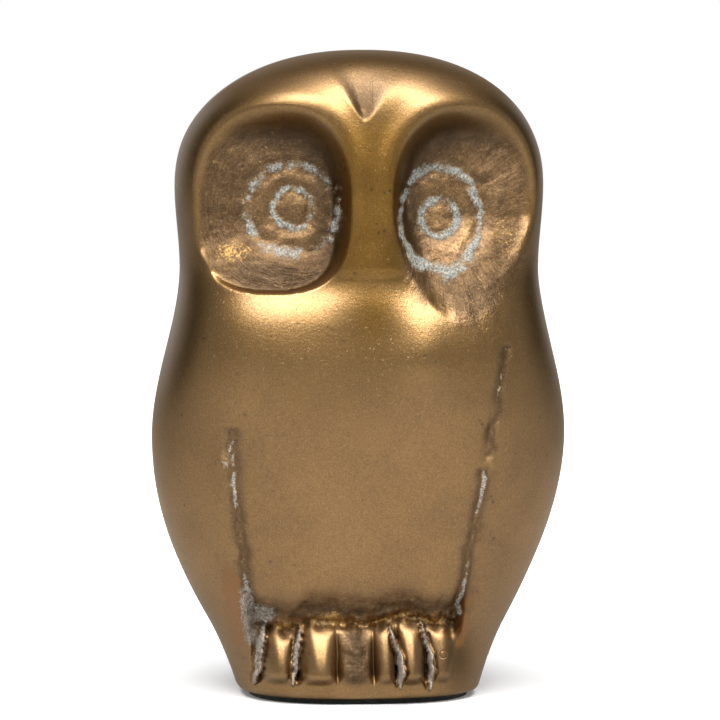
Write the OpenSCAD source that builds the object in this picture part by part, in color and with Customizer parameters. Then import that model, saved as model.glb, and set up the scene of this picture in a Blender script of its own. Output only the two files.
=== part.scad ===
// Owl figurine: one hollow brass casting, closed underneath by a screwed plate and a felt pad.
// Front is -Y, up is +Z, and the origin is the middle of the face that it rests on.

/* [Figure] */
// Height from the felt's face to the crown
figure_h = 100; // [80:1:120]
// Width of the foot
base_w = 37.2; // [31:0.2:45]
// Width across the wings
wing_w = 64.2; // [53:0.2:77]
// Width of the neck
neck_w = 55.4; // [46:0.2:66]
// Width of the head
head_w = 57; // [48:0.2:68]

/* [Depth from the middle plane] */
// Reach of the foot, front and back
base_reach = 18.6; // [16:0.1:22]
// Reach of the breast at its fullest
breast_reach = 24.6; // [21:0.1:29]
// Reach of the neck under the face
chin_reach = 20.2; // [18:0.1:23]
// Reach of the face at eye level
face_reach = 21.6; // [18:0.1:26]
// Reach of the back at its fullest
back_reach = 25; // [21:0.1:30]
// Reach of the nape and the back of the head
nape_reach = 22.8; // [19:0.1:27]

/* [Face and feet] */
// Depth of the eye sockets behind the face
socket_depth = 5.8; // [4:0.1:7]
// Height of the shelf under the left eye
shelf_rise = 1.5; // [0:0.1:2]
// Height of the brow ridge over the face
brow_rise = 0.4; // [0.2:0.1:1.2]
// Height of the beak over the face
beak_rise = 0.7; // [0.3:0.1:1.6]
// Fullness of the throat between the sockets
throat_rise = 2; // [0:0.1:3]
// Depth of the notch between the brows
forehead_dip = 1; // [0.2:0.1:2]
// Depth of the crease under the breast
hem_depth = 2.8; // [1:0.1:3.4]
// Height of the toes over the foot
toe_rise = 3.2; // [1:0.1:3.6]
// Depth of the valleys between the toes
toe_recess = 2.2; // [0.5:0.1:2.4]
// Step from the breast to the wings
wing_step = 0.8; // [0:0.1:1.2]

/* [Casting] */
// Wall of the casting
wall = 4; // [3:0.1:5]
// Width of the solid foot around the core's neck
foot_wall = 4.2; // [4:0.1:5]
// Diameter of the core pins
pin_d = 1.2; // [0.8:0.1:2]
// Length of the core pins inside the hollow
pin_stub = 1; // [0.5:0.1:2]
// Depth of the core pins' ends below the skin
pin_sink = 0.15; // [0.05:0.05:0.3]

/* [Closing plate] */
// Thickness of the plate
plate_t = 2; // [1.5:0.1:3]
// Width of the rim around the plate
rim_w = 2.2; // [1.6:0.1:3]
// Gap between the plate and its recess
plate_gap = 0.15; // [0.05:0.05:0.4]
// Distance from the sides of the foot to the two screws
screw_inset = 6.2; // [5.8:0.1:7]
// Diameter of the screws' thread
screw_d = 3; // [2.5:0.5:3]
// Length of the screws, head included
screw_l = 8; // [6:1:9]
// Gap around the screws in the plate
screw_gap = 0.1; // [0.05:0.05:0.3]
// Wall of the bosses around the screws
boss_wall = 1.9; // [1.5:0.1:2.5]
// Room left under the tip of the screws
tip_room = 2.5; // [1:0.5:4]

/* [Felt] */
// Thickness of the felt
felt_t = 0.8; // [0.5:0.1:2]
// Distance from the edge of the foot to the felt
felt_inset = 1.5; // [0.5:0.1:2.5]

/* [Hidden] */
thread_gap = 0.03;
pin_gap = 0.02;
over = 0.5;
columns = 84;
crowd = 0.52;
core_columns = 36;
foot_squareness = 2.5;
core_squareness = 2.5;
crown_squareness = 2.2;
brow_squareness = 4;

// Levels of the figure, which follow its height
tall = figure_h/100;
rim_z = felt_t;
toe_z = 3.4*tall;
hem_z = 13.6*tall;
wing_z = 40.5*tall;
neck_z = 66.5*tall;
eye_z = 77*tall;
head_z = 79*tall;

// Stretches of the skin between two heights, each with its count of rings
SKIN_RINGS = [[rim_z, 16*tall, 14], [16*tall, 54*tall, 12], [54*tall, head_z, 14]];
crown_rings = 11;
CORE_RINGS = [[rim_z + 1, 14*tall, 3], [14*tall, 66*tall, 9], [66*tall, head_z, 3]];
core_crown_rings = 5;

// Outlines of the skin and the core: [height, reach, slope]
flare = (wing_w - base_w)/27/tall;
SKIN_SIDE = [[rim_z, base_w/2, 0.30*flare], [12.5*tall, base_w*0.322 + wing_w*0.178, 0.56*flare],
    [wing_z, wing_w/2, 0], [neck_z, neck_w/2, 0], [head_z, head_w/2, 0]];
SKIN_FRONT = [[rim_z, base_reach, 0.14], [42*tall, breast_reach, 0],
    [52*tall, breast_reach - 0.4, -0.08], [58*tall, chin_reach + 2.9, -0.27],
    [62*tall, chin_reach + 1.3, -0.50], [65*tall, chin_reach + 0.1, -0.20],
    [67.5*tall, chin_reach, 0.10], [head_z, face_reach, 0]];
SKIN_BACK = [[rim_z, base_reach, 0.32], [44*tall, back_reach, 0], [head_z, nape_reach, 0]];
SQUARENESS = [[rim_z, foot_squareness, 0], [wing_z, 2.3, 0], [61*tall, 2.9, 0],
    [head_z, 2.6, 0]];
// How far the middle line of the skin wanders sideways: [height, shift, slope]
LEAN = [[rim_z, 0, -0.02], [20*tall, -0.3, 0], [42*tall, 0.15, 0.01], [84*tall, 0.25, 0],
    [figure_h, 0.8, 0.03]];
CORE_SIDE = [[rim_z, base_w/2 - foot_wall, 0], [11*tall, base_w/2 - foot_wall + 0.6, 0.1],
    [wing_z, wing_w/2 - wall, 0], [neck_z, neck_w/2 - wall, 0], [head_z, head_w/2 - wall, 0]];
CORE_FRONT = [[rim_z, base_reach - foot_wall, 0], [15*tall, base_reach - foot_wall, 0],
    [38*tall, breast_reach - wall - 0.4, 0], [64*tall, face_reach - socket_depth - wall - 1, 0]];
CORE_BACK = [[rim_z, base_reach - foot_wall, 0], [14*tall, base_reach - foot_wall + 1, 0.3],
    [44*tall, back_reach - wall, 0], [head_z, nape_reach - wall, 0]];

// Eye sockets, left then right: side, middle, half width, reach up and down, the squareness
// of the upper and lower edge, the width of the wall inside, outside, above and below, and
// the slope that brings the outer half of the floor forward under the eye
wide = head_w/57;
SOCKETS = [
    [-1, 14.9, 12.1, 15, 13.8, 2.5, 2.9, [3, 2.6, 5.6, 1.5], 0],
    [1, 15.1, 12.0, 15, 19.2, 2.3, 1.75, [3.2, 2.6, 5.6, 5.5], 0.5]];

// Toes: middle, half width and share of the full height
foot_wide = base_w/37.2;
TOES = [[-13.7, 2.5, 0.95], [-7.4, 2.9, 1], [-1.8, 2.9, 0.62], [2.8, 1.7, 0.8], [6.9, 2.1, 1],
    [12.4, 2.8, 0.85]];

// Core pins: where they stand along X and Z, and the side that they go through
PINS = [[11.7*foot_wide, 7.7*tall, -1], [-9*foot_wide, 20*tall, 1], [9*foot_wide, 20*tall, 1],
    [0, 70*tall, 1]];

screw_pitch = base_w - 2*screw_inset;
screw_r = screw_d/2;
head_r = screw_d*11/12;
head_h = head_r - screw_r;
boss_r = screw_r + boss_wall;
ledge_z = rim_z + plate_t;
tip_z = rim_z + screw_l;

function clamp(v, low, high) = max(low, min(high, v));

// Smooth rise from 0 to 1 between two values
function ease(low, high, v) = let (t = clamp((v - low)/(high - low), 0, 1)) t*t*(3 - 2*t);

function hump(v, w) = exp(-v*v/(w*w));

// Smooth curve through [height, reach, slope] stations
function along(z, line, i = 0) =
    z <= line[0][0] ? line[0][1] :
    i == len(line) - 1 ? line[i][1] :
    z > line[i + 1][0] ? along(z, line, i + 1) :
    let (span = line[i + 1][0] - line[i][0], t = (z - line[i][0])/span)
    line[i][1]*(2*t*t*t - 3*t*t + 1) + line[i][2]*span*(t*t*t - 2*t*t + t)
    + line[i + 1][1]*(3*t*t - 2*t*t*t) + line[i + 1][2]*span*(t*t*t - t*t);

// Share of the full section that is left at a height in the crown
function crown(z, top, n) = let (h = clamp((z - head_z)/(top - head_z), 0, 1))
    pow(max(0, 1 - pow(h, n)), 1/n);

// Point of a rounded section at an angle from the front: half width, front, back, squareness
function section(a, side, front, back, n) =
    let (s = abs(sin(a))/side, c = abs(cos(a))/(cos(a) > 0 ? front : back))
    let (r = pow(pow(s, n) + pow(c, n), -1/n))
    [r*sin(a), -r*cos(a)];

// Angles around a section, closer together at the front
function around(i, count, crowd) = let (t = 360*i/count - 180) t - crowd*sin(t)*180/PI;

// Plain body before the face, wings and feet are worked into it
function plain(a, z) =
    let (c = crown(z, figure_h, crown_squareness), b = crown(z, figure_h, brow_squareness))
    section(a, along(z, SKIN_SIDE)*c, along(z, SKIN_FRONT)*b, along(z, SKIN_BACK)*c,
        along(z, SQUARENESS));

// Place in a socket: [share of the way out to its edge, share of the wall's drop, up, inward]
function socket_place(x, z, s) =
    let (u = (x*s[0]/wide - s[1])/s[2], w = (z - eye_z)/tall/(z > eye_z ? s[3] : s[4]))
    let (n = z > eye_z ? s[5] : s[6])
    let (rho = pow(pow(abs(u), n) + pow(abs(w), n), 1/n) + 0.0001)
    let (dx = x*s[0]/wide - s[1], dz = (z - eye_z)/tall, far = norm([dx, dz]) + 0.0001)
    let (inward = -dx/far, up = dz/far)
    let (drop = s[7][0]*pow(max(inward, 0), 2) + s[7][1]*pow(max(-inward, 0), 2)
        + s[7][2]*pow(max(up, 0), 2) + s[7][3]*pow(max(-up, 0), 2))
    [rho, clamp(far*(1/rho - 1)/drop, 0, 1), up, inward];

// Floor of a socket: a dish that runs back towards the side and forward towards the chin
function socket_floor(x, z, s) =
    let (out = abs(x)/wide, below = max(75 - z/tall, 0), chin = below*below/(below + 3))
    socket_depth - face_reach + 0.17*(out - 4) + 0.01*pow(max(out - 14, 0), 2)
    - chin*(0.08 + s[8]*ease(5, 15, out)) - shelf(x/wide, z/tall);

// Shelf in the left socket, from its outer corner round under the eye
function shelf(x, z) = let (edge = 68.8 - 0.33*abs(x + 17.5))
    shelf_rise*(1 - ease(edge, edge + 3.6, z))*ease(3, 14, -x);

function socket_cut(x, y, z, s) = let (at = socket_place(x, z, s))
    at[0] < 1 ? max(0, socket_floor(x, z, s) - y)*ease(0, 1, pow(at[1], 0.85)) : 0;

function brow(x, z, s) = let (at = socket_place(x, z, s))
    hump(at[0] - 1.08, 0.13)*ease(-0.1, 0.6, at[2] + 0.35*at[3]);

// Notch between the brows: a valley that opens upwards from its tip and dies away in the crown
function notch(x, z) =
    let (climb = max(z/tall - 89.2, 0), beside = x/wide + 0.9 + 0.26*climb)
    let (spread = 0.4 + (beside > 0 ? 1.1 : 0.45)*climb)
    forehead_dip*(1 - ease(0, spread, abs(beside)))*ease(0, 2, climb)
    * (1 - ease(94*tall, figure_h, z));

// How far the face stands in from the plain body
function face(x, y, z) =
    let (left = brow(x, z, SOCKETS[0]), right = brow(x, z, SOCKETS[1]))
    let (beak = (1 - ease(1.4*wide, 6.6*wide, abs(x)))
        * ease(65.2*tall, 67.2*tall, z)*(1 - ease(80*tall, 90*tall, z)))
    let (throat = hump(x, 6*wide)*hump(z - 65.5*tall, 6.2*tall))
    max(socket_cut(x, y, z, SOCKETS[0]), socket_cut(x, y, z, SOCKETS[1]))
    - brow_rise*(1 - (1 - left)*(1 - right)) - beak_rise*beak - throat_rise*throat
    + notch(x, z);

// Distances outside the two wing lines
function left_wing(x, z) = -(17.6*foot_wide + 0.131*(z - hem_z)) - x;
function right_wing(x, z) = x - (14.4*foot_wide + 0.139*(z - hem_z));

function wing(d, z, top) = wing_step*ease(-0.2, 0.9, d)*hump(max(d, 0), 6)
    * ease(10*tall, 12*tall, z)*(1 - ease((top - 14)*tall, top*tall, z));

// Share of a toe's height: round across, and leaning back from its nose up to the crease
function toe(x, z) =
    (z > toe_z ? max(0, 1 - pow((z - toe_z)/(hem_z - 1.4*tall - toe_z), 1.45))
        : 1 - pow((toe_z - z)/(toe_z - rim_z), 2)/2)
    * max([for (t = TOES) t[2]*sqrt(max(0, 1 - pow((x/foot_wide - t[0])/t[1], 2)))]);

// How far the breast's crease and the feet stand in from the plain body, over the plate's rim
function feet(x, z) =
    let (inside = ease(-0.8, 0.8, -left_wing(x, z))*ease(-0.8, 0.8, -right_wing(x, z)))
    let (foot = ease(-0.2, 1.2, hem_z - z)*ease(ledge_z, ledge_z + 2.1, z))
    inside*(hem_depth*hump(z - hem_z, (z > hem_z ? 3.3 : 1.7)*tall)
        + foot*(toe_recess - (toe_rise + toe_recess)*toe(x, z)));

// Skin of the figure at an angle and height
function skin(a, z) = let (p = plain(a, z), x = p[0], y = p[1], lean = along(z, LEAN))
    y >= 0 ? [x + lean, y] :
    [x + lean, y + ease(0, 3, -y)*(face(x, y, z) + feet(x, z)
        - wing(left_wing(x, z), z, 43) - wing(right_wing(x, z), z, 56))];

// Core that the hollow is cast around
function core(a, z) = let (c = crown(z, figure_h - wall, crown_squareness))
    section(a, along(z, CORE_SIDE)*c, along(z, CORE_FRONT)*c, along(z, CORE_BACK)*c,
        core_squareness);

// Heights of the rings: even steps in each stretch, then even turns over the crown
function heights(stretches, turns, top) = concat(
    [for (s = stretches, i = [0:s[2] - 1]) s[0] + (s[1] - s[0])*i/s[2]],
    [for (i = [0:turns - 1]) head_z + (top - head_z)*pow(sin(90*i/turns), 2/crown_squareness)]);

// Closed body from rings of points, with one point on top and a flat foot
module rings_body(rings, top) {
    n = len(rings[0]);
    last = (len(rings) - 1)*n;
    polyhedron(
        points = concat([for (r = rings) each r], [[0, 0, top]]),
        faces = concat(
            [[for (i = [0:n - 1]) i]],
            [for (k = [0:len(rings) - 2], i = [0:n - 1]) let (a = k*n + i, b = k*n + (i + 1)%n)
                each [[a, b + n, b], [a, a + n, b + n]]],
            [for (i = [0:n - 1]) [last + i, last + n, last + (i + 1)%n]]));
}

// Outline of the foot, drawn in by a distance
module foot_outline(inset) {
    polygon([for (i = [0:columns - 1])
        section(360*i/columns, base_w/2 - inset, base_reach - inset, base_reach - inset,
            foot_squareness)]);
}

module at_screws() {
    for (side = [-1, 1]) translate([side*screw_pitch/2, 0, 0]) children();
}

// Distance of a rounded section from the middle plane, at a place across it
function depth_at(x, side, reach, n) = reach*pow(max(0, 1 - pow(abs(x)/side, n)), 1/n);

// Distances of the skin and the core straight in front of or behind the middle plane
function skin_depth(x, z, side) =
    let (reach = along(z, side < 0 ? SKIN_FRONT : SKIN_BACK))
    depth_at(x, along(z, SKIN_SIDE), reach, along(z, SQUARENESS)) - (side < 0 ? feet(x, z) : 0);
function core_depth(x, z, side) =
    let (reach = along(z, side < 0 ? CORE_FRONT : CORE_BACK))
    depth_at(x, along(z, CORE_SIDE), reach, core_squareness);

// Core pins, or the holes that they leave: radius, distance past the skin and into the hollow
module pins(r, past, stub) {
    for (p = PINS) {
        outer = skin_depth(p[0] - along(p[1], LEAN), p[1], p[2]) + past;
        inner = core_depth(p[0], p[1], p[2]) - stub;
        translate([p[0], p[2]*inner, p[1]]) rotate([-90*p[2], 0, 0])
            cylinder(h = outer - inner, r = r, $fn = 24);
    }
}

module hollow() {
    difference() {
        rings_body([for (z = heights(CORE_RINGS, core_crown_rings, figure_h - wall))
            [for (i = [0:core_columns - 1]) let (p = core(around(i, core_columns, 0), z))
                [p[0], p[1], z]]], figure_h - wall);
        at_screws() cylinder(h = tip_z + tip_room + boss_wall, r = boss_r, $fn = 48);
    }
}

module cast_body() {
    color("#8c6941") difference() {
        rings_body([for (z = heights(SKIN_RINGS, crown_rings, figure_h))
            [for (i = [0:columns - 1]) let (p = skin(around(i, columns, crowd), z))
                [p[0], p[1], z]]], figure_h);
        hollow();
        translate([0, 0, rim_z - over]) linear_extrude(plate_t + over) foot_outline(rim_w);
        at_screws() translate([0, 0, rim_z])
            cylinder(h = screw_l + tip_room, r = screw_r, $fn = 48);
        pins(pin_d/2, over, pin_stub + over);
    }
}

module base_plate() {
    color("#b08d4f") difference() {
        translate([0, 0, rim_z]) linear_extrude(plate_t) foot_outline(rim_w + plate_gap);
        at_screws() {
            translate([0, 0, rim_z - over])
                cylinder(h = plate_t + 2*over, r = screw_r + screw_gap, $fn = 48);
            translate([0, 0, rim_z - over]) cylinder(h = head_h + over,
                r1 = head_r + screw_gap + over, r2 = screw_r + screw_gap, $fn = 48);
        }
    }
}

module base_screws() {
    slot_w = 0.8;
    slot_deep = 0.6;
    color("#c0a060") at_screws() difference() {
        union() {
            translate([0, 0, rim_z]) cylinder(h = head_h, r1 = head_r, r2 = screw_r, $fn = 48);
            translate([0, 0, rim_z]) cylinder(h = screw_l, r = screw_r - thread_gap, $fn = 48);
        }
        translate([-head_r - over, -slot_w/2, rim_z - over])
            cube([2*head_r + 2*over, slot_w, slot_deep + over]);
    }
}

module core_pins() {
    color("#6b5a45") pins(pin_d/2 - pin_gap, -pin_sink, pin_stub);
}

module felt_pad() {
    color("#1d241f") linear_extrude(felt_t) foot_outline(felt_inset);
}

cast_body();
base_plate();
base_screws();
core_pins();
felt_pad();
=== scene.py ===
"""Owl figurine: the looks of a small hollow brass casting on a felt pad.

The skin, felt and masks are worked out in millimetres on numpy grids and put into the meshes in
metres. Front is -Y, up is +Z. The finishes are procedural shader nodes.
"""
import math

import bpy
import numpy as np
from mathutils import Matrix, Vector


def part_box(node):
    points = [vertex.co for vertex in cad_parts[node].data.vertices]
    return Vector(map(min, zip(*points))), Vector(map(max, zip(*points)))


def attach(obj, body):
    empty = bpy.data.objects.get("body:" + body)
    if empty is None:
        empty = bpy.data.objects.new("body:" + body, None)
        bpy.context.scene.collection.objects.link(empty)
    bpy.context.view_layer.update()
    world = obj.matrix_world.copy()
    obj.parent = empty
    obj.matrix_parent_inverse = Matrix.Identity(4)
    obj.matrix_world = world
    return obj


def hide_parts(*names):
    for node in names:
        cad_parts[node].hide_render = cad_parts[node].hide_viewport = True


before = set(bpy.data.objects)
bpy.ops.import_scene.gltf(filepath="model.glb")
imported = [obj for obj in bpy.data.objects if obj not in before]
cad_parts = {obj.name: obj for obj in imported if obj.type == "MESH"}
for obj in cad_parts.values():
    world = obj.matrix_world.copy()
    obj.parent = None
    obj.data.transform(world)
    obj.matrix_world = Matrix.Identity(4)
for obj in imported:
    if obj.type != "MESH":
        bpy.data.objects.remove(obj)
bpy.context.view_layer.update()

MM = 0.001


def box_mm(node):
    """Lowest and highest corner of a CAD node, in millimetres."""
    low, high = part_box(node)
    return np.array(low)/MM, np.array(high)/MM


# ---------------------------------------------------------------- sizes taken from the frame
CAST_LOW, CAST_HIGH = box_mm("cast_body")
PLATE_HIGH = box_mm("base_plate")[1]
FELT_LOW, FELT_HIGH = box_mm("felt_pad")
PIN_HIGH = box_mm("core_pins")[1]

# Core pins: X, height and the side that their ends show on, and the radius of their rings
PIN_RING = .55
PIN_MARKS = [(PIN_HIGH[0] - .58, 7.7, -1), (-9.0, 20.0, 1), (9.0, 20.0, 1), (0.0, 70.0, 1)]

RIM_Z = CAST_LOW[2]
CROWN_Z = CAST_HIGH[2]
LEDGE_Z = PLATE_HIGH[2]
WING_HALF = (CAST_HIGH[0] - CAST_LOW[0])/2
BACK_REACH = CAST_HIGH[1]
RIM_WIDTH = 2.35
FOOT_HALF = PLATE_HIGH[0] + RIM_WIDTH
FOOT_REACH = PLATE_HIGH[1] + RIM_WIDTH
WALL = 4.0
FOOT_WALL = 4.2
FOOT_POWER = 2.5

# ---------------------------------------------------------------- levels and outlines, in mm
HEM_Z = 13.6
TOE_Z = 3.4
EYE_Z = 77.0
HEAD_Z = 79.0
CROWN_POWER = 2.2
BROW_POWER = 4.0
EDGE_ROUND = .9
HEM_DEPTH = 2.8
WING_STEP = .8

# Stations of the outlines: height, reach, slope
SIDE = [(RIM_Z, FOOT_HALF, .30), (12.5, FOOT_HALF + .356*(WING_HALF - FOOT_HALF), .56),
        (40.5, WING_HALF, 0), (66.5, 27.7, 0), (HEAD_Z, 28.5, 0)]
FRONT = [(RIM_Z, FOOT_REACH, .14), (42, 24.6, 0), (52, 24.2, -.08), (58, 23.1, -.27),
         (62, 21.5, -.50), (65, 20.3, -.20), (67.5, 20.2, .10), (HEAD_Z, 21.6, 0)]
BACK = [(RIM_Z, FOOT_REACH, .32), (44, BACK_REACH, 0), (HEAD_Z, 22.8, 0)]
SQUARENESS = [(RIM_Z, 2.5, 0), (40.5, 2.3, 0), (61, 2.9, 0), (HEAD_Z, 2.6, 0)]
# How far the middle line wanders sideways: height, shift, slope
LEAN = [(RIM_Z, 0, -.02), (20, -.3, 0), (42, .15, .01), (84, .25, 0), (CROWN_Z, .8, .03)]

# Eye sockets: the left one is rounder with a crisp lower lip, the right one runs to a point
SOCKETS = [
    # The last entry of each socket is how much painted shade darkens the upper part of its floor.
    dict(side=-1, middle=14.9, half=12.1, up=15.0, down=13.8, top_power=2.5, low_power=2.9,
         wall_in=3.0, wall_out=2.6, wall_up=5.6, wall_low=.35, chin=0.0, floor_shade=.35),
    dict(side=1, middle=15.1, half=12.0, up=15.0, down=19.2, top_power=2.3, low_power=1.75,
         wall_in=3.2, wall_out=2.6, wall_up=5.6, wall_low=5.5, chin=.5, floor_shade=0.0)]

# Engraved rings round the eyes: middle, half width and half height of the outer ring, inner
# ring, how well the crust in them has kept, and where the tool strokes round them run
EYES = [dict(x=-11.5, z=75.9, wide=7.0, high=6.8, inner=3.0, kept=.56, strokes="round"),
        dict(x=11.1, z=74.4, wide=6.4, high=7.8, inner=2.85, kept=.92, strokes="outwards")]

# Toes: their rise, the depth of the valleys between them, and each one's middle, half width and
# share of the full height
TOE_RISE, TOE_RECESS = 5.4, 2.2
TOES = [(-13.7, 2.5, .95), (-7.4, 2.9, 1.0), (-1.8, 2.9, .62), (2.8, 1.7, .8), (6.9, 2.1, 1.0),
        (12.4, 2.8, .85)]

# Flash left between the toes: its line from the foot up, as (height, x), and its half width
FLASHES = [([(2.6, -16.9), (13.2, -15.2)], .62),
           ([(2.8, -11.3), (12.2, -10.0)], .55),
           ([(2.4, 5.0), (7.8, 5.1), (12.3, 3.4)], .55),
           ([(2.0, 9.7), (7.8, 9.9), (12.9, 8.3)], .5)]

# How high the steps at the left and the right wing line reach
WING_TOPS = (43, 56)


# ---------------------------------------------------------------- small functions
def ease(low, high, v):
    """Rises smoothly from 0 at low to 1 at high: 3t^2 - 2t^3."""
    t = np.clip((v - low)/(high - low), 0, 1)
    return t*t*(3 - 2*t)


def hump(v, width):
    """A bell: e to the power of minus (v/width) squared."""
    return np.exp(-(v/width)**2)


def along(z, stations):
    """Smooth curve through stations of height, reach and slope: one cubic Hermite a stretch."""
    z = np.asarray(z, float)
    out = np.full(z.shape, float(stations[0][1]))
    for (z0, v0, s0), (z1, v1, s1) in zip(stations[:-1], stations[1:]):
        span = z1 - z0
        t = (z - z0)/span
        curve = (v0*(2*t**3 - 3*t**2 + 1) + s0*span*(t**3 - 2*t**2 + t)
                 + v1*(3*t**2 - 2*t**3) + s1*span*(t**3 - t**2))
        out = np.where(z >= z0, curve, out)
    return np.where(z > stations[-1][0], stations[-1][1], out)


class Grain:
    """Smooth random field from a seeded lattice of 32 cubed values, blended between its points."""

    def __init__(self, seed):
        self.lattice = np.random.default_rng(seed).uniform(-1, 1, (32, 32, 32))

    def __call__(self, x, y, z, size):
        place = [np.asarray(v, float)/size + 16 for v in (x, y, z)]
        cell = [np.floor(v).astype(int) for v in place]
        part = [v - c for v, c in zip(place, cell)]
        part = [t*t*(3 - 2*t) for t in part]
        out = 0
        for corner in range(8):
            bits = (corner & 1, corner >> 1 & 1, corner >> 2 & 1)
            weight = 1
            for t, bit in zip(part, bits):
                weight = weight*(t if bit else 1 - t)
            index = tuple((c + bit) % 32 for c, bit in zip(cell, bits))
            out = out + weight*self.lattice[index]
        return out


coarse = Grain(3)
fine = Grain(11)


def grit(x, y, z, size):
    """Cast grain: three octaves of the random field, each half the size and height of the last."""
    return (coarse(x, y, z, size) + .5*fine(x, y, z, size/2) + .25*coarse(z, x, y, size/4))/1.4


# ---------------------------------------------------------------- the plain body
def crown(z, top, power):
    """Share of the section left at a height: 1 up to the head's level, then a rounded dome."""
    h = np.clip((z - HEAD_Z)/(top - HEAD_Z), 0, 1)
    return (1 - h**power)**(1/power)


def section(angle, side, front, back, power):
    """Superellipse with its own reach at the sides, front and back; angle 0 is the front."""
    across = np.abs(np.sin(angle))/np.maximum(side, 1e-6)
    ahead = np.abs(np.cos(angle))/np.maximum(np.where(np.cos(angle) > 0, front, back), 1e-6)
    reach = (across**power + ahead**power)**(-1/power)
    return reach*np.sin(angle), -reach*np.cos(angle)


def plain_body(angle, z):
    """The body before the face, wings and feet: superellipses that follow the four outlines."""
    c, brow_c = crown(z, CROWN_Z, CROWN_POWER), crown(z, CROWN_Z, BROW_POWER)
    low = np.clip((RIM_Z + EDGE_ROUND - z)/EDGE_ROUND, 0, 1)
    foot_edge = EDGE_ROUND*(1 - np.sqrt(1 - low**2))
    return section(angle, along(z, SIDE)*c - foot_edge, along(z, FRONT)*brow_c - foot_edge,
                   along(z, BACK)*c - foot_edge, along(z, SQUARENESS))


# ---------------------------------------------------------------- the face
def socket_place(x, z, s):
    """Share of the way out to a socket's edge, share of the wall passed, and the way it lies."""
    dx, dz = x*s["side"] - s["middle"], z - EYE_Z
    power = np.where(dz > 0, s["top_power"], s["low_power"])
    u, w = dx/s["half"], dz/np.where(dz > 0, s["up"], s["down"])
    rho = (np.abs(u)**power + np.abs(w)**power)**(1/power) + 1e-6
    far = np.hypot(dx, dz) + 1e-6
    inward, up = -dx/far, dz/far
    wall = (s["wall_in"]*np.clip(inward, 0, 1)**2 + s["wall_out"]*np.clip(-inward, 0, 1)**2
            + s["wall_up"]*np.clip(up, 0, 1)**2 + s["wall_low"]*np.clip(-up, 0, 1)**2)
    return rho, np.clip(far*(1/rho - 1)/wall, 0, 1), inward, up


def socket_floor(x, z, s):
    """A dish that runs back towards the sides and forward towards the chin, with a low shelf
    round the lower side of the left eye that dies away inwards."""
    out = np.abs(x)
    dish = -15.8 + .17*(out - 4) + .010*np.maximum(out - 14, 0)**2
    below = np.maximum(75 - z, 0)
    chin = below**2/(below + 3)*(.08 + s["chin"]*ease(5, 15, out))
    shelf_z = 68.8 - .33*np.abs(x + 17.5)
    shelf = 1.5*(1 - ease(shelf_z, shelf_z + 3.6, z))*ease(3, 14, -x)
    return dish - chin - shelf


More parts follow.
